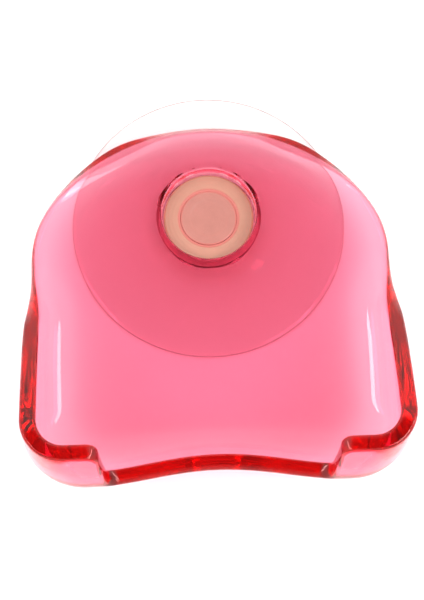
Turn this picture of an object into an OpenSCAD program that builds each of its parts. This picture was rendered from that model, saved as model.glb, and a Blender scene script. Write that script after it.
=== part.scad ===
// D-shaped dish that turns on a suction cup: a tinted dish, a soft cup, a stud
// that joins them and a plug in the stud. It rests on z = 0 with its front
// towards -y, and its footprint is centred on the origin. Shapes are drawn
// about the cup axis, then moved back by cup_y.

/* [Dish] */
// Half of the dish's outer width between its front corners
half_width = 33.7; // [33:0.1:36]
// Distance from the cup axis to the outer face of the front wall
front_y = 50.3; // [48:0.1:54]
// Distance from the cup axis to the outer edge of the low back rim
back_y = 16.6; // [15.6:0.1:17.4]
// Thickness of the moulded sheet
wall = 2.8; // [2.4:0.1:3.2]
// Outer radius of the bend between the floor and the walls
bend_r = 9.5; // [8.5:0.25:10]
// Height of the front corners above the resting surface
corner_z = 27; // [25:0.5:29]
// Outer radius of the front corners at their top
corner_r = 7; // [6.5:0.5:9]
// Extra run of the bend, beyond bend_r, towards the front corners and front wall
front_run = 3.2; // [0:0.1:3.6]
// Amount by which the front wall leans in towards the cup at its top
front_lean = 2.4; // [0:0.1:2.5]

/* [Front notch] */
// Half width of the notch at its bottom edge
notch_half = 19.2; // [15:0.2:20]
// Half width of the notch below its rounded upper corners
notch_half_top = 20.6; // [19.2:0.2:21]
// Height of the notch's bottom edge above the resting surface
notch_z = 13.9; // [12:0.1:15]
// Depth of the inward bow of the front lip at its middle
lip_bow = 2.2; // [0:0.1:2.5]

/* [Side rims] */
// Height of the low back rim above the resting surface
back_rim_z = 9.8; // [9.5:0.1:10.5]
// Distance in front of the cup axis where the side rims start to rise
rise_start = 3; // [0:0.5:6]
// Distance in front of the cup axis where the side rims reach full height
rise_end = 43; // [40:0.5:44]
// Share of that distance over which the rims hardly rise
rise_hold = 0.15; // [0:0.05:0.4]

/* [Hub] */
// Height of the hub's underside above the resting surface
hub_z = 3.65; // [3.6:0.05:4]
// Thickness of the ledge that the stud head sits on
ledge_t = 1.0; // [0.8:0.1:1.2]
// Radius of the bore that the stud neck turns in
bore_r = 6.6; // [6.2:0.1:7]
// Radius of the well at the ledge
well_r_low = 8.4; // [8.3:0.05:8.5]
// Radius of the well at the floor
well_r_top = 8.7; // [8.6:0.1:8.9]
// Outer radius of the hub at its underside
hub_r = 9.3; // [9.2:0.1:10.5]
// Outer radius of the hub's flare where it meets the floor
flare_r = 9.6; // [9.4:0.1:11]

/* [Stud and plug] */
// Radius of the stud head
head_r = 8.2; // [7.8:0.1:8.2]
// Thickness of the stud head
head_t = 0.9; // [0.8:0.1:1]
// Radius of the plug head
plug_r = 5.1; // [4.8:0.1:5.2]
// Radius of the plug stem
stem_r = 3.0; // [2.6:0.1:3.2]

/* [Suction cup] */
// Radius of the suction cup's rim
cup_r = 25; // [24:0.5:27]
// Height of the suction cup at its centre pad
cup_h = 3.6; // [3.5:0.05:3.6]

/* [Clearances] */
// Running clearance between the stud and its neighbours
clear = 0.05; // [0.03:0.01:0.08]

/* [Hidden] */

// Facets: round features that seat or turn, the dish's skin, the cup, the lip
round_fn = 96;
skin_fn = 32;
cup_fn = 120;
bow_fn = 192;

// Heights of the stud head and the dish floor
ledge_top = hub_z + ledge_t;
head_bot = ledge_top + clear;
head_top = head_bot + head_t;
floor_above_head = 2.95;
floor_top = head_top + floor_above_head;
floor_bot = floor_top - wall;

// Cup axis behind the centre of the footprint
cup_y = (front_y - cup_r) / 2;

// Discs that round the back and sides of the tub outline
back_disc_r = 26;
back_disc_y = -5.5;
side_disc_r = 24;
side_disc_y = -4;
side_inset = 2; // side discs stop this far inside half_width
slice_t = 0.02;

// Front corners at the top of the bend, and how fast they tighten below it
bend_corner_r = 11;
corner_shrink = 0.5;
bend_steps = 7;

// Lip arc: half chord, and the radius that gives lip_bow over it
bow_chord = 21;
bow_r = (bow_chord ^ 2 + lip_bow ^ 2) / (2 * lip_bow);

// Height of the cutters that pass right through the dish
cutter_h = 60;

// Share of the side rims' climb that is a straight slope, the rest an S-curve
rise_slope = 0.12;
rise_steps = 24;

notch_corner_r = 2.4;
notch_steps = 5;
notch_start = 9; // how far behind front_y the notch cutter starts
notch_cut = 30;

// Back trim: half ellipse centred at trim_y, its sides inset from half_width
trim_y = -10;
trim_inset = 1.5;
trim_side_y = -24;
trim_steps = 36;

// Socket in the cup that holds the stud's foot
socket_r = 8.05;
socket_bot = 2.05;
socket_top = 2.95;

// Counterbore and blind hole in the stud, and how the plug fits them
head_chamfer = 0.2;
counterbore_gap = 0.4; // around the plug head
counterbore_depth = 0.5;
hole_depth = 2.2;
plug_head_gap = 0.02; // under the plug head
stem_gap = 0.05; // under the stem
stem_press = 0.02; // overlap of the stem with the hole's side
plug_proud = 0.05; // rise of the plug above the stud head

// Flat slice of the tub outline at height z, inset all round. lean moves the
// front in, run moves the front corners in on both axes.
module slice(inset, z, corner, lean, run) {
    corner_inset = inset + run + corner;
    translate([0, 0, z]) {
        translate([0, back_disc_y, 0])
            cylinder(h = slice_t, r = back_disc_r - inset, $fn = skin_fn);
        for (side = [-1, 1]) {
            translate([side * (half_width - side_inset - side_disc_r), side_disc_y, 0])
                cylinder(h = slice_t, r = side_disc_r - inset, $fn = skin_fn);
            translate([side * (half_width - corner_inset), -(front_y - lean - corner_inset), 0])
                cylinder(h = slice_t, r = corner, $fn = skin_fn);
        }
    }
}

// Closed convex tub: flat bottom, bend of radius bend, then walls to z_top.
// The walls reach their full lean and corner radius at corner_z.
module tub(bottom, bend, inset, z_top) {
    wall_share = (z_top - bottom - bend) / (corner_z - bottom - bend);
    corner = bend_corner_r - inset;
    hull() {
        for (i = [0 : bend_steps]) {
            angle = 90 * i / bend_steps;
            inward = 1 - sin(angle);
            slice(inset + bend * inward, bottom + bend * (1 - cos(angle)),
                corner - corner_shrink * bend * inward, 0, front_run * inward);
        }
        slice(inset, z_top, corner + (corner_r - inset - corner) * wall_share,
            front_lean * wall_share, 0);
    }
}

// Upright cylinder in front of the dish whose face bows the lip in
module bow(extra, z) {
    translate([0, -(front_y - lip_bow) - bow_r, z])
        cylinder(h = cutter_h, r = bow_r + extra, $fn = bow_fn);
}

// Height of the side rim at a share (0 to 1) of its run forward
function rim_z(share) =
    let (curve = max(0, (share - rise_hold) / (1 - rise_hold)))
    back_rim_z + (corner_z - back_rim_z)
        * (rise_slope * share + (1 - rise_slope) * curve * curve * (3 - 2 * curve));

// Everything above the side rims; points are [distance forward, z]
module above_rims() {
    top = corner_z + 20;
    back = -(back_y + 20);
    front = front_y + 10;
    rise = [for (i = [0 : rise_steps]) let (share = i / rise_steps)
        [rise_start + (rise_end - rise_start) * share, rim_z(share)]];
    rotate([90, 0, -90])
        linear_extrude(height = 100, center = true)
            polygon(concat([[back, top], [back, back_rim_z]], rise,
                [[front, corner_z], [front, top]]));
}

// Notch in the front wall; points are [x, z]
module notch() {
    r = notch_corner_r;
    angles = [for (i = [0 : notch_steps]) 90 * i / notch_steps];
    right = concat(
        [for (a = angles) [notch_half - r + r * sin(a), notch_z + r - r * cos(a)]],
        [for (a = angles) [notch_half_top + r - r * cos(a), corner_z - r + r * sin(a)]],
        [[notch_half_top + r + 0.01, corner_z + 5]] // just off vertical
    );
    left = [for (i = [len(right) - 1 : -1 : 0]) [-right[i].x, right[i].y]];
    translate([0, -(front_y - notch_start), 0])
        rotate([90, 0, 0])
            linear_extrude(height = notch_cut) polygon(concat(right, left));
}

// Plan outline that trims the low back rim: half an ellipse at the back, then
// sides that leave the upright walls alone
module back_outline() {
    arc = [for (i = [0 : trim_steps]) let (angle = 180 * i / trim_steps)
        [(half_width - trim_inset) * cos(angle), trim_y + (back_y - trim_y) * sin(angle)]];
    side_x = half_width + 1;
    front_x = half_width + 2;
    translate([0, 0, -1])
        linear_extrude(height = cutter_h)
            polygon(concat([[side_x, trim_side_y]], arc, [
                [-side_x, trim_side_y], [-front_x, -front_y - 5], [front_x, -front_y - 5]
            ]));
}

// Floor, rising side walls, notched front and low back rim
module dish_sheet() {
    intersection() {
        difference() {
            tub(floor_bot, bend_r, 0, corner_z + 6);
            // the inside stops one wall behind the bowed lip
            difference() {
                tub(floor_top, bend_r - wall, wall, corner_z + 7);
                bow(wall, floor_top - 1);
            }
            bow(0, floor_bot - 1);
            above_rims();
            notch();
        }
        back_outline();
    }
}

// Tinted D-shaped dish with its hub, bore and well
module dish_shell() {
    color([0.95, 0.25, 0.42, 0.8])
    translate([0, cup_y, 0])
    difference() {
        union() {
            dish_sheet();
            // hub, sunk 0.5 into the floor
            translate([0, 0, hub_z])
                cylinder(h = floor_bot + 0.5 - hub_z, r1 = hub_r, r2 = flare_r, $fn = round_fn);
        }
        // bore that the stud neck turns in
        translate([0, 0, hub_z - 1]) cylinder(h = 3, r = bore_r, $fn = round_fn);
        // conical well that the stud head sits in, cleared above the floor
        translate([0, 0, ledge_top])
            cylinder(h = floor_top - ledge_top, r1 = well_r_low, r2 = well_r_top, $fn = round_fn);
        translate([0, 0, floor_top - 0.01]) cylinder(h = 2, r = well_r_top, $fn = round_fn);
    }
}

// Profile of [radius, z] points turned about the cup axis
module turned(profile, facets) {
    translate([0, cup_y, 0]) rotate_extrude($fn = facets) polygon(profile);
}

// Soft suction cup: thin skirt, flat contact ring and a centre pad with the
// undercut socket for the stud's foot
module suction_cup() {
    color([0.93, 0.93, 0.9, 0.5])
    turned([
        // underside, out to the contact ring
        [0, 1.0], [6, 0.98], [12, 0.86], [17, 0.62], [21, 0.3], [cup_r - 1.6, 0],
        // rim, then back up the skirt to the pad
        [cup_r, 0], [cup_r, 0.5], [cup_r - 0.3, 0.8], [cup_r - 3, 1.15],
        [19, 1.65], [15.5, 2.2], [13, 2.75], [11.4, 3.3], [10.4, cup_h],
        // socket
        [bore_r, cup_h], [bore_r, socket_top], [socket_r, socket_top],
        [socket_r, socket_bot], [0, socket_bot]
    ], cup_fn);
}

// Stiff stud: foot in the cup's socket, neck through the bore, head in the well
module swivel_stud() {
    foot_r = socket_r - clear;
    foot_bot = socket_bot + clear;
    foot_top = socket_top - clear;
    neck_r = bore_r - clear;
    counterbore_r = plug_r + counterbore_gap;
    counterbore_z = head_top - counterbore_depth;
    hole_z = head_top - hole_depth;
    color([0.86, 0.74, 0.6])
    turned([
        [0, foot_bot], [foot_r, foot_bot], [foot_r, foot_top], [neck_r, foot_top],
        [neck_r, head_bot], [head_r, head_bot], [head_r, head_top - head_chamfer],
        [head_r - head_chamfer, head_top], [counterbore_r, head_top],
        [counterbore_r, counterbore_z], [stem_r, counterbore_z], [stem_r, hole_z], [0, hole_z]
    ], round_fn);
}

// Plug pressed into the stud from above, with a shallow dip in its top
module centre_plug() {
    press_r = stem_r + stem_press;
    stem_bot = head_top - hole_depth + stem_gap;
    plug_bot = head_top - counterbore_depth + plug_head_gap;
    plug_top = head_top + plug_proud;
    color([0.83, 0.66, 0.58])
    turned([
        [0, stem_bot], [press_r, stem_bot], [press_r, plug_bot], [plug_r, plug_bot],
        [plug_r, plug_top - 0.1], [plug_r - 0.12, plug_top],
        [3.4, plug_top], [3.1, plug_top - 0.15], [0, plug_top - 0.19]
    ], round_fn);
}

dish_shell();
suction_cup();
swivel_stud();
centre_plug();
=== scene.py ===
# A dish of bent, tinted acrylic sheet on a clear suction cup, joined by a beige
# swivel stud with a plug in its centre. The cup stands on z = 0 and the dish opens
# upwards (+Z). Its low round back faces +Y, its square notched front faces -Y.
import math

import bmesh
import bpy
import numpy as np
from mathutils import Matrix, Vector


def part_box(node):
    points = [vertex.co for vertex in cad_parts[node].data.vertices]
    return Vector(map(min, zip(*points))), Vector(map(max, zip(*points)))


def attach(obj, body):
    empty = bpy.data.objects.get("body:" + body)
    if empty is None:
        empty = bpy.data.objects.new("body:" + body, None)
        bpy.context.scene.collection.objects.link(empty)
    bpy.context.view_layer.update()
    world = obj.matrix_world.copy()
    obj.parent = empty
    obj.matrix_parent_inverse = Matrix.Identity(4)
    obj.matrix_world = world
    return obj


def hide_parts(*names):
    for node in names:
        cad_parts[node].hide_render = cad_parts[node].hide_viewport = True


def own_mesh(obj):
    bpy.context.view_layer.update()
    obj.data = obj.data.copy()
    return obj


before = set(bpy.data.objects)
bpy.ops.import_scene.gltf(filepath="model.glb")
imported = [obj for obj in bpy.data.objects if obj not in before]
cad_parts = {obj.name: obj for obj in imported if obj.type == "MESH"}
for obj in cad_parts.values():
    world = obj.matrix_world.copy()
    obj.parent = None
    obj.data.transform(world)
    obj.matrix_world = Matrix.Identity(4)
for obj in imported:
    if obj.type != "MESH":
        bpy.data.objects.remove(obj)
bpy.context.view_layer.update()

# ---------------------------------------------------------------- measures
# Shapes are drawn in millimetres in the cup's own frame (cup axis at x = y = 0,
# resting face at z = 0). AXIS_X and AXIS_Y place that axis, in metres.
stud_lo, stud_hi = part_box("swivel_stud")
AXIS_X = (stud_lo.x + stud_hi.x) / 2
AXIS_Y = (stud_lo.y + stud_hi.y) / 2
MM = 0.001

# Sheet and bend
SHEET_T = 2.8
BEND_R = 9.5                        # outer radius of the bend
MID_R = BEND_R - SHEET_T / 2        # radius at the middle of the sheet
BEND_TOP = 15.25                    # height where the upright wall starts
BEND_LEN = MID_R * math.pi / 2
FLOOR_TOP = BEND_TOP - (BEND_R - SHEET_T)
FLOOR_UNDER = BEND_TOP - BEND_R

# Hub in the dish floor
HUB_UNDER = 3.65
HUB_R = 9.15
FLARE_R = 9.5                       # where the hub's flare meets the floor
FLARE_DROP = FLOOR_UNDER - HUB_UNDER
BORE_R = 6.6
LEDGE_Z = 4.65
WELL_LOW_R, WELL_TOP_R = 8.35, 8.5
WELL_LIP = 0.35                     # rounding of the well's upper edge
HUB_BREAK, LEDGE_BREAK = 0.12, 0.08  # small edge breaks in bore and well

# Plan outline: back, shoulder and corner discs joined by tangents
BACK_CENTRE, BACK_R = (0.0, -5.5), 26.0
SHOULDER_CENTRE, SHOULDER_R = (8.3, -4.0), 24.0
HALF_WIDTH = 33.7
FRONT_DIST = 50.3                   # from the cup axis to the front
CORNER_R, CORNER_TOP_R = 11.0, 7.1  # full outline, and at the top of the wall
CORNER_H = 27.0
FRONT_LEAN, SIDE_LEAN = 2.45, 0.65  # how far the walls lean in at the top
SIDE_LEAN_FROM, SIDE_LEAN_TO = 18, 32  # distances in front of the axis
LIP_BOW, BOW_HALF = 2.2, 21.0       # inward bow of the front, and its half width
BOW_BEND = 1.15                     # bend angle at which the bow is full
FRONT_RUN = 3.2                     # extra run of the bend towards the front

# Rim
RIM_A, RIM_B, RIM_Y = 32.6, 26.6, -10.0  # plan ellipse of the low back rim
BACK_H = 9.8
RISE_FROM, RISE_RUN = 3, 40         # where the side rim starts to rise, and its length
RISE_HOLD = 0.15                    # share of the run over which it hardly rises
RISE_LINEAR = 0.12                  # share of the rise that is a straight slope
NOTCH_FOOT_X, NOTCH_TOP_X = 19.2, 20.6
NOTCH_R, NOTCH_Z = 2.4, 13.9
STEP, CORNER_STEP, NOTCH_GAP = 0.85, 0.62, 0.35  # station spacing along the rim
BACK_EDGE, WALL_EDGE = 0.22, 0.55   # rounding of the rim's edges
EDGE_FROM, EDGE_TO = 25, 45         # outline places between which it softens
RIM_CROWN = 0.07


def ease(value, start, end):
    """Smooth step from 0 at start to 1 at end."""
    t = np.clip((value - start) / (end - start), 0, 1)
    return t * t * (3 - 2 * t)


# ------------------------------------------------- plan outline of the sheet
# The right half outline runs from the back centre to the front centre in six spans.
BACK, BACK_JOIN, SHOULDER, SIDE, CORNER, FRONT = range(6)


def tangent_angle(centre1, r1, centre2, r2):
    dx, dy = centre2[0] - centre1[0], centre2[1] - centre1[1]
    return np.arctan2(dy, dx) + np.arccos((r1 - r2) / np.hypot(dx, dy))


def outline(span, t, inset=0.0, corner_r=CORNER_R, lean=0.0):
    """Points and plan normals of the inset outline; t is the share along the span."""
    span, t, inset, corner_r, lean = np.broadcast_arrays(span, t, inset, corner_r, lean)
    back_r, shoulder_r = BACK_R - inset, SHOULDER_R - inset
    corner_x = HALF_WIDTH - inset - corner_r
    corner_y = -(FRONT_DIST - lean - inset - corner_r)
    join = tangent_angle(BACK_CENTRE, back_r, SHOULDER_CENTRE, shoulder_r)
    side = tangent_angle(SHOULDER_CENTRE, shoulder_r, (corner_x, corner_y), corner_r)
    in_span = [span == i for i in range(FRONT)]
    angle = np.select(
        in_span,
        [
            np.pi / 2 + (join - np.pi / 2) * t,
            join,
            join + (side - join) * t,
            side,
            side + (-np.pi / 2 - side) * t,
        ],
        -np.pi / 2,
    )
    cos, sin = np.cos(angle), np.sin(angle)

    def join_discs(back, shoulder, corner, front):
        on_join = back + (shoulder - back) * t
        on_side = shoulder + (corner - shoulder) * t
        return np.select(in_span, [back, on_join, shoulder, on_side, corner], front)

    x = join_discs(
        BACK_CENTRE[0] + back_r * cos,
        SHOULDER_CENTRE[0] + shoulder_r * cos,
        corner_x + corner_r * cos,
        corner_x * (1 - t),
    )
    y = join_discs(
        BACK_CENTRE[1] + back_r * sin,
        SHOULDER_CENTRE[1] + shoulder_r * sin,
        corner_y + corner_r * sin,
        corner_y - corner_r,
    )
    return x, y, cos, sin


def span_edges(samples=200):
    """Lengths along the full outline at which the spans start, and its end."""
    span = np.repeat(np.arange(6), samples)
    t = np.tile(np.linspace(0, 1, samples), 6)
    x, y, _, _ = outline(span, t)
    length = np.concatenate([[0], np.cumsum(np.hypot(np.diff(x), np.diff(y)))])
    return np.append(length[::samples], length[-1])


SPAN_EDGE = span_edges()
FRONT_LEN = SPAN_EDGE[-1] - SPAN_EDGE[FRONT]


def span_of(place):
    """Span and share along it at a length along the full outline."""
    place = np.clip(place, 0, SPAN_EDGE[-1])
    span = np.clip(np.searchsorted(SPAN_EDGE, place, side="right") - 1, 0, FRONT)
    start = SPAN_EDGE[span]
    return span, (place - start) / (SPAN_EDGE[span + 1] - start)


# ---------------------------------------------------------------- bent sheet
# A point of the sheet is given by its place along the outline and its climb, the
# length along the middle of the sheet from the floor's edge.
def ellipse_inset(place):
    """Inset that brings the full outline in to the rim ellipse, and the y there."""
    x, y, normal_x, normal_y = outline(*span_of(place))
    square = (normal_x / RIM_A) ** 2 + (normal_y / RIM_B) ** 2
    linear = -2 * (x * normal_x / RIM_A**2 + (y - RIM_Y) * normal_y / RIM_B**2)
    const = (x / RIM_A) ** 2 + ((y - RIM_Y) / RIM_B) ** 2 - 1
    root = np.sqrt(np.clip(linear * linear - 4 * square * const, 0, None))
    inset = (-linear - root) / (2 * square)
    inset = np.where(y - inset * normal_y < RIM_Y, 0, np.clip(inset, 0, None))
    return inset, y - inset * normal_y


def blur(values, width):
    weights = np.exp(-0.5 * (np.arange(-3 * width, 3 * width + 1) / width) ** 2)
    weights /= weights.sum()
    return np.convolve(np.pad(values, 3 * width, mode="edge"), weights, mode="valid")


def rim_height(distance):
    """Height of the rim's inner edge at a distance in front of the cup axis."""
    t = np.clip((distance - RISE_FROM) / RISE_RUN, 0, 1)
    share = RISE_LINEAR * t + (1 - RISE_LINEAR) * ease(t, RISE_HOLD, 1)
    return BACK_H + (CORNER_H - BACK_H) * share


def rim_table():
    """Outer bend radius and rim climb by place: the bend opens out where the rim is low."""
    place = np.arange(0, SPAN_EDGE[FRONT], 0.1)
    inset, y = ellipse_inset(place)
    reach = BEND_R - blur(inset, 12)
    rise = blur(rim_height(-y), 10) - FLOOR_TOP
    # bisect for the bend angle that gives both the reach and the rise
    low, high = np.full_like(place, 0.02), np.full_like(place, math.pi / 2)
    for _ in range(40):
        middle = (low + high) / 2
        short = reach * np.tan(middle / 2) - SHEET_T * (1 - np.cos(middle)) < rise
        low, high = np.where(short, middle, low), np.where(short, high, middle)
    bend = (low + high) / 2
    upright_rim = rise >= reach - SHEET_T
    radius = np.where(upright_rim, reach, reach / np.sin(bend))
    climb = np.where(upright_rim, BEND_LEN + rise - (reach - SHEET_T), MID_R * bend)
    # the corners keep the full bend
    radius = np.where(place > SPAN_EDGE[CORNER] - 6, BEND_R, radius)
    return place, blur(radius, 8), blur(climb, 8)


TABLE_PLACE, TABLE_RADIUS, TABLE_CLIMB = rim_table()


def bend_angle(climb):
    return np.clip(climb / MID_R, 0, np.pi / 2)


def wall_share(climb):
    """Share of the walls' lean reached at a climb."""
    wall = np.clip(climb - BEND_LEN, 0, None)
    return np.clip(wall / (CORNER_H - BEND_TOP), 0, 1.3) ** 1.4


def corner_radius(inset, share):
    return CORNER_R - 0.5 * np.clip(inset, 0, None) - (CORNER_R - CORNER_TOP_R) * share


def sheet(place, climb):
    """Outer surface point and sheet normal, which points out of the dish."""
    place, climb = np.broadcast_arrays(place, climb)
    bend = bend_angle(climb)
    share = wall_share(climb)
    sin, cos = np.sin(bend), np.cos(bend)
    radius = np.interp(place, TABLE_PLACE, TABLE_RADIUS, right=BEND_R)
    run = FRONT_RUN * ease(place, SPAN_EDGE[SIDE] - 4, SPAN_EDGE[CORNER] - 2)
    inset = BEND_R - radius * sin + run * (1 - sin)
    span, t = span_of(place)
    x, y, normal_x, normal_y = outline(
        span, t, inset, corner_radius(inset, share), FRONT_LEAN * share
    )
    bow = LIP_BOW * np.clip(1 - (x / BOW_HALF) ** 2, 0, 1) ** 2
    y = y + np.where(span == FRONT, bow, 0) * ease(bend, 0, BOW_BEND)
    x = x - np.sign(x) * SIDE_LEAN * share * ease(-y, SIDE_LEAN_FROM, SIDE_LEAN_TO)
    z = FLOOR_UNDER + radius * (1 - cos) + np.clip(climb - BEND_LEN, 0, None)
    # the extra run stretches the bend sideways, which tips its normals
    stretch = 1 + run / BEND_R
    unit = 1 / np.hypot(sin, cos * stretch)
    normal = [normal_x * sin * unit, normal_y * sin * unit, -cos * stretch * unit]
    return np.stack([x, y, z], -1), np.stack(normal, -1)


def layer(place, climb, depth):
    """Points of the sheet at a depth below its outer surface."""
    outer, normal = sheet(place, climb)
    return outer - normal * np.reshape(depth, (-1, 1))


def front_half(climb):
    """Half length of the straight front span at a climb."""
    inset = (BEND_R + FRONT_RUN) * (1 - np.sin(bend_angle(climb)))
    return HALF_WIDTH - inset - corner_radius(inset, wall_share(climb))


STEADY_CLIMB = MID_R * 1.25  # below this the columns keep their place
BASE_HALF = front_half(STEADY_CLIMB)


def upright(base, climb):
    """Place at a climb of the column from base; near the notch columns run straight up."""
    base, climb = np.broadcast_arrays(base, climb)
    x = BASE_HALF * (1 - (base - SPAN_EDGE[FRONT]) / FRONT_LEN)
    half = front_half(np.maximum(climb, STEADY_CLIMB))
    shift = FRONT_LEN * x * (1 / BASE_HALF - 1 / half)
    return base + shift * ease(base, SPAN_EDGE[FRONT] - 5, SPAN_EDGE[FRONT] - 1.5)


# ---------------------------------------------------------------- rim curve
def climb_of_rim(z):
    """Climb to a rim height; parts in the bend are cut square to the sheet."""
    in_bend = np.arccos(np.clip((BEND_TOP - z) / MID_R, 0, 1)) * MID_R
    return np.where(z < BEND_TOP, in_bend, BEND_LEN + z - BEND_TOP)


def notch_rim():
    """(x, z) of the front rim, from the top of the wall down the notch to x = 0."""
    turn = np.radians(np.linspace(0, 90, 11))[::-1]
    top_z, foot_z = CORNER_H - NOTCH_R, NOTCH_Z + NOTCH_R
    top = [
        (NOTCH_TOP_X + NOTCH_R - NOTCH_R * math.cos(a), top_z + NOTCH_R * math.sin(a))
        for a in turn
    ]
    slope = [
        (NOTCH_TOP_X + (NOTCH_FOOT_X - NOTCH_TOP_X) * f, top_z + (foot_z - top_z) * f)
        for f in np.linspace(0, 1, 20)[1:-1]
    ]
    foot = [
        (NOTCH_FOOT_X - NOTCH_R + NOTCH_R * math.sin(a), foot_z - NOTCH_R * math.cos(a))
        for a in turn
    ]
    lip = [(x, NOTCH_Z) for x in np.linspace(NOTCH_FOOT_X - NOTCH_R, 0, 34)[1:]]
    return np.array(top + slope + foot + lip)


def half_rim():
    """Rim from the back centre to the front centre as (base, place, climb)."""
    front_x, front_z = notch_rim().T
    front_base = SPAN_EDGE[FRONT] + (1 - front_x / BASE_HALF) * FRONT_LEN
    stations = [0.0]
    while stations[-1] < front_base[0] - 0.3:
        last = stations[-1]
        stations.append(last + (CORNER_STEP if last > SPAN_EDGE[CORNER] - 2 else STEP))
    stations = np.array(stations)
    stations *= (front_base[0] - NOTCH_GAP) / stations[-1]
    base = np.concatenate([stations, front_base])
    side_climb = np.interp(stations, TABLE_PLACE, TABLE_CLIMB)
    climb = np.concatenate([side_climb, climb_of_rim(front_z)])
    return base, upright(base, climb), climb


def rim_inward(place, climb):
    """Unit (place, climb) direction from the rim into the sheet, square to the rim."""
    along_place, along_climb = np.gradient(place), np.gradient(climb)
    length = np.hypot(along_place, along_climb)
    in_place, in_climb = along_climb / length, -along_place / length
    # straight down on the centre line
    in_place[[0, -1]] = 0.0
    in_climb[[0, -1]] = -1.0
    return in_place, in_climb


# ---------------------------------------------------------------- dish
def half_rows():
    """Rows of points for the right half: from the bore's foot up through the
    inside, over the rim and back down the outside to the hub."""
    base, rim_place, rim_climb = half_rim()
    in_place, in_climb = rim_inward(rim_place, rim_climb)
    edge = BACK_EDGE + (WALL_EDGE - BACK_EDGE) * ease(rim_place, EDGE_FROM, EDGE_TO)

    inner_edge = layer(base, 0.0, SHEET_T)
    around = np.arctan2(inner_edge[:, 1], inner_edge[:, 0])

    def ring(r, z):
        return np.stack([r * np.cos(around), r * np.sin(around), np.full_like(around, z)], -1)

    def from_rim(setback):
        return rim_place + in_place * setback, rim_climb + in_climb * setback

    end_place, end_climb = from_rim(edge)
    bend_end = np.minimum(BEND_LEN, 0.8 * end_climb)

    def column(f):
        """Place and climb; f runs from 0 to 1 in the bend and from 1 to 2 in the wall."""
        climb = np.where(f <= 1, bend_end * f, bend_end + (end_climb - bend_end) * (f - 1))
        shift = (end_place - upright(base, end_climb)) * (climb / end_climb) ** 2
        return upright(base, climb) + shift, climb

    # bore, ledge and well
    rows = [
        ring(BORE_R + HUB_BREAK, HUB_UNDER),
        ring(BORE_R, HUB_UNDER + HUB_BREAK),
        ring(BORE_R, LEDGE_Z - LEDGE_BREAK),
        ring(BORE_R + LEDGE_BREAK, LEDGE_Z),
        ring(WELL_LOW_R - HUB_BREAK, LEDGE_Z),
        ring(WELL_LOW_R, LEDGE_Z + HUB_BREAK),
    ]
    lip_z = FLOOR_TOP - WELL_LIP
    for f in (0.3, 0.6, 0.8):
        r = WELL_LOW_R + (WELL_TOP_R - WELL_LOW_R) * f
        rows.append(ring(r, LEDGE_Z + (lip_z - LEDGE_Z) * f))
    for a in np.radians([0, 18, 36, 54, 72, 90]):
        r = WELL_TOP_R + WELL_LIP * (1 - math.cos(a))
        rows.append(ring(r, lip_z + WELL_LIP * math.sin(a)))

    # floor, then the inside of the bend and wall
    well_edge = rows[-1]
    for f in (0.04, 0.14, 0.3, 0.48, 0.66, 0.82, 0.94):
        rows.append(well_edge * (1 - f) + inner_edge * f)
    heights = np.concatenate([np.linspace(0, 1, 17), 1 + np.linspace(0, 1, 10)[1:]])
    rows += [layer(*column(f), SHEET_T) for f in heights]

    # rim: rounded inner edge, slightly crowned face, rounded outer edge
    turns = np.linspace(0, np.pi / 2, 6)[1:]
    for a in turns:
        setback, depth = edge * (1 - math.sin(a)), edge * (1 - math.cos(a))
        rows.append(layer(*from_rim(setback), SHEET_T - depth))
    for f in (0.33, 0.5, 0.67):
        rows.append(layer(*from_rim(-RIM_CROWN * np.sin(np.pi * f)), SHEET_T * (1 - f)))
    for a in turns[::-1]:
        setback, depth = edge * (1 - math.sin(a)), edge * (1 - math.cos(a))
        rows.append(layer(*from_rim(setback), depth))

    # outside of the wall and bend, then the underside, with rows closer near the hub
    outside = [layer(*column(f), 0) for f in heights[::-1]]
    outer_edge, hub = outside[-1], ring(HUB_R, FLOOR_UNDER)
    for f in (0.12, 0.3, 0.5, 0.68, 0.8, 0.88, 0.94, 0.975):
        outside.append(outer_edge * (1 - f) + hub * f)
    outside.append(hub)
    # the hub's flare thickens what is near it
    for row in outside:
        r = np.hypot(row[:, 0], row[:, 1])
        row[:, 2] -= FLARE_DROP * (1 - ease(r, HUB_R, FLARE_R))
    feet = [ring(HUB_R - 0.5, HUB_UNDER), ring(BORE_R + 1.0, HUB_UNDER)]
    return np.array(rows + outside + feet)


def add_solid(name, points, faces, sharp_angle):
    """Smooth-shaded object from points in millimetres, with outward normals."""
    placed = np.asarray(points, float) * MM + np.array([AXIS_X, AXIS_Y, 0.0])
    mesh = bpy.data.meshes.new(name)
    mesh.from_pydata([tuple(p) for p in placed], [], faces)
    mesh.update()
    mesh.polygons.foreach_set("use_smooth", [True] * len(mesh.polygons))
    mesh.set_sharp_from_angle(angle=math.radians(sharp_angle))
    solid = bpy.data.objects.new(name, mesh)
    bpy.context.scene.collection.objects.link(solid)
    work = bmesh.new()
    work.from_mesh(mesh)
    bmesh.ops.recalc_face_normals(work, faces=work.faces)
    if work.calc_volume(signed=True) < 0:
        bmesh.ops.reverse_faces(work, faces=work.faces)
    work.to_mesh(mesh)
    work.free()
    return solid


def add_dish():
    right = half_rows()
    left = right[:, ::-1] * np.array([-1, 1, 1])
    # the left half goes on from the front centre to the back centre
    grid = np.concatenate([right, left[:, 1:-1]], axis=1)
    rows, columns = grid.shape[:2]
    faces = []
    for i in range(rows):
        here, above = i * columns, (i + 1) % rows * columns
        for j in range(columns):
            k = (j + 1) % columns
            faces.append((here + j, here + k, above + k, above + j))
    return add_solid("dish", grid.reshape(-1, 3), faces, sharp_angle=50)


# ------------------------------------------------------- turned pieces
# Half profiles as (radius, height, size of the corner's rounding), from axis to axis.
# A point without a third number stays sharp.
HEAD_UNDER, HEAD_TOP = 4.70, 5.60

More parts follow.
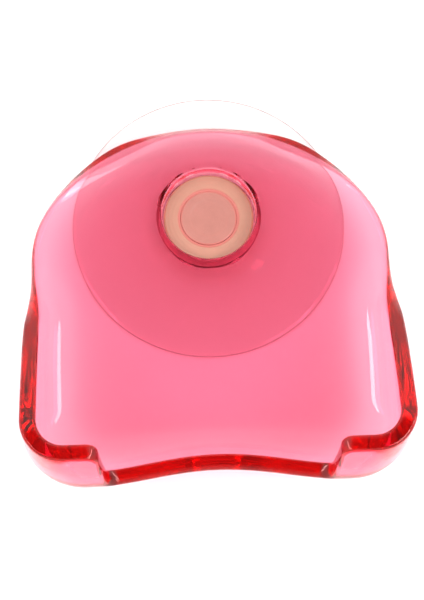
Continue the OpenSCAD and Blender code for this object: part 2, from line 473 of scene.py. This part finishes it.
CUP_PROFILE = [
    # hollow underside out to the thin edge
    (0, 0.84), (6, 0.83, 3), (12, 0.74, 3), (17, 0.54, 3), (21, 0.26, 2), (23.4, 0.0, 0.3),
    (24.75, 0.0, 0.22), (25.0, 0.32, 0.15), (24.85, 0.66, 0.15), (24.3, 0.86, 0.4),
    # upper face in to the neck
    (22, 1.15, 2), (19, 1.65, 2), (15.5, 2.2, 1.5), (13, 2.75, 1.2), (11.4, 3.3, 0.8),
    (10.4, 3.6, 0.35),
    # pocket for the stud
    (6.62, 3.6, 0.15), (6.62, 2.95, 0.08), (8.05, 2.95, 0.08), (8.05, 2.05, 0.08), (0, 2.05),
]
STUD_PROFILE = [
    # foot and shank
    (0, 2.10), (8.0, 2.10, 0.12), (8.0, 2.90, 0.12), (6.55, 2.90, 0.05),
    (6.55, HEAD_UNDER, 0.05),
    # head
    (8.2, HEAD_UNDER, 0.1), (8.2, HEAD_TOP - 0.12, 0.16), (7.85, HEAD_TOP, 0.2),
    (7.2, HEAD_TOP - 0.03, 0.2), (6.2, HEAD_TOP - 0.05, 0.3), (5.62, HEAD_TOP - 0.03, 0.12),
    (5.42, HEAD_TOP - 0.2, 0.1),
    # stepped seat for the plug
    (5.14, HEAD_TOP - 0.24, 0.04), (5.12, HEAD_TOP - 0.5, 0.04), (3.0, HEAD_TOP - 0.5, 0.05),
    (3.0, HEAD_TOP - 2.2, 0.05), (0, HEAD_TOP - 2.2),
]
PLUG_PROFILE = [
    # stem
    (0, HEAD_TOP - 2.15), (3.0, HEAD_TOP - 2.15, 0.08), (3.0, HEAD_TOP - 0.48),
    # cap with a dished top
    (5.1, HEAD_TOP - 0.48, 0.05), (5.1, HEAD_TOP - 0.05, 0.12), (4.85, HEAD_TOP + 0.05, 0.12),
    (3.7, HEAD_TOP + 0.03, 0.3), (3.1, HEAD_TOP - 0.12, 0.4), (0, HEAD_TOP - 0.14),
]


def rounded(profile):
    """Profile with each rounded corner replaced by a five-point curve."""
    points = []
    for i, (r, z, *rounding) in enumerate(profile):
        if not rounding:
            points.append((r, z))
            continue
        corner = np.array((r, z), float)
        before = np.array(profile[i - 1][:2]) - corner
        after = np.array(profile[i + 1][:2]) - corner
        before_len, after_len = np.linalg.norm(before), np.linalg.norm(after)
        before, after = before / before_len, after / after_len
        half_angle = math.acos(float(np.clip(before @ after, -1, 1))) / 2
        cut = min(rounding[0] / math.tan(half_angle), 0.48 * before_len, 0.48 * after_len)
        start, end = corner + before * cut, corner + after * cut
        for t in np.linspace(0, 1, 5):
            points.append(tuple((1 - t) ** 2 * start + 2 * t * (1 - t) * corner + t * t * end))
    return points


def add_turned(name, profile, segments):
    """Solid of revolution about the cup axis."""
    points, faces, rings = [], [], []
    angles = np.linspace(0, 2 * np.pi, segments, endpoint=False)
    for r, z in rounded(profile):
        if r < 1e-6:
            rings.append([len(points)])
            points.append((0, 0, z))
        else:
            rings.append(range(len(points), len(points) + segments))
            points += [(r * math.cos(a), r * math.sin(a), z) for a in angles]
    for this, following in zip(rings[:-1], rings[1:]):
        for j in range(segments):
            k = (j + 1) % segments
            if len(this) == 1:
                faces.append((this[0], following[j], following[k]))
            elif len(following) == 1:
                faces.append((this[j], following[0], this[k]))
            else:
                faces.append((this[j], following[j], following[k], this[k]))
    return add_solid(name, points, faces, sharp_angle=35)


dish = add_dish()
cup = add_turned("suction_cup_soft", CUP_PROFILE, segments=240)
stud = add_turned("stud_beige", STUD_PROFILE, segments=192)
plug = add_turned("centre_plug_beige", PLUG_PROFILE, segments=192)


# ---------------------------------------------------------------- materials
class Graph:
    """Node tree of a material or world; an input may be a value or a socket."""

    def __init__(self, owner):
        owner.use_nodes = True
        self.tree = owner.node_tree
        self.tree.nodes.clear()

    def fill(self, node, inputs):
        for key, value in inputs.items():
            if isinstance(value, bpy.types.NodeSocket):
                self.tree.links.new(value, node.inputs[key])
            else:
                node.inputs[key].default_value = value

    def node(self, kind, inputs=None):
        node = self.tree.nodes.new(kind)
        self.fill(node, inputs or {})
        return node

    def map_range(self, value, source, target):
        return self.node("ShaderNodeMapRange", {
            "Value": value,
            "From Min": source[0], "From Max": source[1],
            "To Min": target[0], "To Max": target[1],
        }).outputs["Result"]

    def calc(self, operation, *values):
        node = self.node("ShaderNodeMath", dict(enumerate(values)))
        node.operation = operation
        return node.outputs[0]

    def mix(self, colour1, colour2, factor):
        inputs = {"Color1": colour1, "Color2": colour2, "Fac": factor}
        return self.node("ShaderNodeMixRGB", inputs).outputs[0]

    def bump(self, height, strength, distance, normal=None):
        inputs = {"Strength": strength, "Distance": distance, "Height": height}
        if normal is not None:
            inputs["Normal"] = normal
        return self.node("ShaderNodeBump", inputs).outputs["Normal"]


class Finish(Graph):
    """Material with a Principled surface, textured in object coordinates."""

    def __init__(self, name):
        self.material = bpy.data.materials.new(name)
        super().__init__(self.material)
        self.output = self.node("ShaderNodeOutputMaterial")
        self.shader = self.node("ShaderNodeBsdfPrincipled")
        self.fill(self.output, {"Surface": self.shader.outputs[0]})
        self.position = self.node("ShaderNodeTexCoord").outputs["Object"]

    def surface(self, inputs):
        self.fill(self.shader, inputs)

    def noise(self, scale, detail, roughness=0.5, distortion=0.0):
        return self.node("ShaderNodeTexNoise", {
            "Scale": scale, "Detail": detail, "Roughness": roughness,
            "Distortion": distortion, "Vector": self.position,
        }).outputs["Fac"]

    def clear(self, ior, roughness, normal, tint, density):
        """Clear body that tints the light passing through it."""
        self.surface({
            "Base Color": (1, 1, 1, 1), "Transmission Weight": 1.0, "IOR": ior,
            "Roughness": roughness, "Normal": normal,
        })
        inputs = {"Color": tint, "Density": density}
        volume = self.node("ShaderNodeVolumeAbsorption", inputs)
        self.fill(self.output, {"Volume": volume.outputs[0]})


def acrylic():
    finish = Finish("tinted_acrylic_moulded")
    wave = finish.noise(scale=55, detail=2, roughness=0.4)  # faint moulding waviness
    fine = finish.noise(scale=900, detail=5, roughness=0.6)
    scratch = finish.noise(scale=260, detail=6, roughness=0.7, distortion=2.0)
    roughness = finish.map_range(scratch, source=(0.45, 0.75), target=(0.015, 0.07))
    normal = finish.bump(wave, strength=0.35, distance=0.0006)
    normal = finish.bump(fine, strength=0.05, distance=0.00005, normal=normal)
    finish.clear(1.49, roughness, normal, tint=(0.973, 0.0, 0.30, 1), density=300)
    return finish.material


def soft_pvc():
    finish = Finish("clear_soft_pvc")
    coarse = finish.noise(scale=120, detail=4, roughness=0.55)
    fine = finish.noise(scale=700, detail=4, roughness=0.6)
    roughness = finish.map_range(fine, source=(0.3, 0.8), target=(0.02, 0.09))
    normal = finish.bump(coarse, strength=0.3, distance=0.0004)
    normal = finish.bump(fine, strength=0.1, distance=0.00006, normal=normal)
    finish.clear(1.53, roughness, normal, tint=(1.0, 0.55, 0.55, 1), density=100)
    return finish.material


def mottled_plastic(name, colour, dark, ring_scale):
    """Opaque plastic, mottled towards dark, with concentric moulding marks."""
    # painted shade: colour painted into the gap between the stud and its plug
    gap_shade_colour = (0.54, 0.145, 0.125, 1)
    gap_r = 0.00528  # metres, between the stud and its plug
    finish = Finish(name)
    grain = finish.noise(scale=300, detail=5, roughness=0.6)
    cloud = finish.noise(scale=60, detail=3)
    mottle = finish.calc(
        "ADD",
        finish.map_range(grain, source=(0.42, 0.7), target=(0, 0.35)),
        finish.map_range(cloud, source=(0.4, 0.7), target=(0, 0.4)),
    )
    body = finish.mix(colour, dark, mottle)

    axes = finish.node("ShaderNodeSeparateXYZ", {0: finish.position}).outputs
    dx = finish.calc("SUBTRACT", axes["X"], AXIS_X)
    dy = finish.calc("SUBTRACT", axes["Y"], AXIS_Y)
    squares = [finish.calc("MULTIPLY", d, d) for d in (dx, dy)]
    radius = finish.calc("SQRT", finish.calc("ADD", *squares))

    # painted shade: the shallow gap between the stud and its plug is painted darker and
    # redder, standing in for the pink-tinted shade in it
    off_gap = finish.calc("ABSOLUTE", finish.calc("SUBTRACT", radius, gap_r))
    painted_gap_shade = finish.map_range(off_gap, source=(0.00012, 0.0005), target=(0.9, 0.0))
    marks = finish.calc("SINE", finish.calc("MULTIPLY", radius, ring_scale))
    normal = finish.bump(marks, strength=0.12, distance=0.00008)
    normal = finish.bump(grain, strength=0.25, distance=0.0001, normal=normal)
    finish.surface({
        "Base Color": finish.mix(body, gap_shade_colour, painted_gap_shade),
        "Normal": normal,
        "Roughness": finish.map_range(grain, source=(0.3, 0.8), target=(0.32, 0.55)),
        "IOR": 1.5,
    })
    return finish.material


def floor_white():
    finish = Finish("studio_floor_white")
    patches = finish.noise(scale=40, detail=4)
    finish.surface({
        "Base Color": finish.mix((0.90, 0.90, 0.90, 1), (0.93, 0.93, 0.93, 1), patches),
        "Roughness": 0.8,
        "Specular IOR Level": 0.2,
    })
    return finish.material


ACRYLIC = acrylic()
PVC = soft_pvc()
# the stud and plug are beige plastic; their base colours are darker and pinker than beige,
# with pink light from the dish painted in, the plug darker and pinker still
STUD_PLASTIC = mottled_plastic(
    "stud_plastic_beige",
    colour=(0.51, 0.235, 0.166, 1), dark=(0.41, 0.18, 0.118, 1), ring_scale=9000,
)
PLUG_PLASTIC = mottled_plastic(
    "plug_plastic_beige_painted_pink",
    colour=(0.47, 0.180, 0.146, 1), dark=(0.37, 0.13, 0.100, 1), ring_scale=11000,
)

# object, material, body it rides on, CAD node it replaces, material slot
PIECES = (
    (dish, ACRYLIC, "dish", "dish_shell", "tinted_acrylic"),
    (cup, PVC, "cup", "suction_cup", "clear_pvc"),
    (stud, STUD_PLASTIC, "stud", "swivel_stud", "stud_plastic"),
    (plug, PLUG_PLASTIC, "stud", "centre_plug", "plug_plastic"),
)
for piece, material, body, node, slot in PIECES:
    piece.data.materials.append(material)
    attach(piece, body)
    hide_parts(node)
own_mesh(cup)
# the hidden CAD solids get the same finishes
for _, material, _, node, _ in PIECES:
    cad_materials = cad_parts[node].data.materials
    cad_materials.clear()
    cad_materials.append(material)


# ---------------------------------------------------------------- stage
# From here on lengths are in metres, except the camera's sensor and lens.
def add_floor(half=2.0, z=-0.00003):
    """Square floor, a hair below the cup."""
    mesh = bpy.data.meshes.new("studio_floor")
    corners = [(-half, -half, z), (half, -half, z), (half, half, z), (-half, half, z)]
    mesh.from_pydata(corners, [], [(0, 1, 2, 3)])
    floor = bpy.data.objects.new("studio_floor", mesh)
    bpy.context.scene.collection.objects.link(floor)
    mesh.materials.append(floor_white())


def add_world():
    world = bpy.data.worlds.new("studio")
    graph = Graph(world)
    output = graph.node("ShaderNodeOutputWorld")
    background = graph.node("ShaderNodeBackground", {"Color": (1, 0.995, 0.985, 1)})
    graph.fill(output, {"Surface": background.outputs[0]})
    direction = graph.node("ShaderNodeTexCoord").outputs["Generated"]
    up = graph.node("ShaderNodeSeparateXYZ", {0: direction}).outputs["Z"]
    # what lights the floor: brightest overhead, dim low down
    lighting = graph.map_range(up, source=(0.50, 0.88), target=(0.22, 2.75))
    # what is seen directly, in reflections and through the plastic: an even pale
    # surround, darker overhead so that the upward faces keep their colour
    seen = graph.map_range(up, source=(0.75, 0.94), target=(1.15, 0.13))
    depth = graph.node("ShaderNodeLightPath").outputs["Diffuse Depth"]
    diffuse = graph.calc("GREATER_THAN", depth, 0.5)
    direct = graph.calc("SUBTRACT", 1.0, diffuse)
    strength = graph.calc(
        "ADD",
        graph.calc("MULTIPLY", lighting, diffuse),
        graph.calc("MULTIPLY", seen, direct),
    )
    graph.fill(background, {"Strength": strength})
    bpy.context.scene.world = world


def add_area_light(name, location, size, power, long_axis=None):
    """Rectangular light aimed at the origin, its long side laid near long_axis."""
    light = bpy.data.lights.new(name, "AREA")
    light.shape = "RECTANGLE"
    light.size, light.size_y = size
    light.energy = power
    lamp = bpy.data.objects.new(name, light)
    lamp.location = location
    aim = -Vector(location)
    lamp.rotation_mode = "QUATERNION"
    if long_axis:
        z = -aim.normalized()
        x = Vector(long_axis)
        x = (x - x.dot(z) * z).normalized()
        axes = Matrix((x, z.cross(x), z)).transposed()
        lamp.rotation_quaternion = axes.to_quaternion()
    else:
        lamp.rotation_quaternion = aim.to_track_quat("-Z", "Y")
    bpy.context.scene.collection.objects.link(lamp)


def add_camera():
    """Camera above the front of the dish, looking down and tilted towards +Y."""
    tilt = math.radians(12.0)
    roll = math.radians(-1.880)
    view_centre = Vector((0.01883, 0.05935, -1.0))  # aim within the tilted, rolled view
    lens = bpy.data.cameras.new("camera")
    camera = bpy.data.objects.new("camera", lens)
    bpy.context.scene.collection.objects.link(camera)
    bpy.context.scene.camera = camera
    lens.sensor_fit = "VERTICAL"
    lens.sensor_height = 24.0
    lens.sensor_width = 16.96
    lens.lens = 76.36
    lens.clip_start = 0.01
    camera.location = (AXIS_X - 0.00706, AXIS_Y - 0.10624, 0.336)
    sin, cos = math.sin(tilt), math.cos(tilt)
    turn = Matrix(((1, 0, 0), (0, cos, -sin), (0, sin, cos)))
    turn = turn @ Matrix.Rotation(roll, 3, "Z")
    turn = turn @ Vector((0, 0, -1)).rotation_difference(view_centre).to_matrix()
    camera.rotation_mode = "QUATERNION"
    camera.rotation_quaternion = turn.to_quaternion()


def set_render():
    scene = bpy.context.scene
    scene.view_settings.view_transform = "Standard"
    scene.view_settings.look = "None"
    scene.view_settings.exposure = -0.12
    # many bounces, as light crosses several clear walls
    cycles = scene.cycles
    cycles.max_bounces = 64
    cycles.transmission_bounces = 60
    cycles.glossy_bounces = 60
    cycles.diffuse_bounces = 8
    cycles.volume_bounces = 0
    cycles.transparent_max_bounces = 16
    cycles.caustics_reflective = True
    cycles.caustics_refractive = True
    cycles.blur_glossy = 0.3


add_floor()
add_world()
for side, sign, power in (("right", 1, 2.8), ("left", -1, 3.4)):
    add_area_light(
        "strip_" + side, location=(sign * 0.80, 0.0, 0.72), size=(0.9, 0.12),
        power=power, long_axis=(sign * -0.30, -0.70, 0.65),
    )
add_area_light("key", location=(0.85, -0.55, 1.25), size=(0.6, 0.6), power=5.0)
add_camera()
set_render()

bpy.context.view_layer.update()
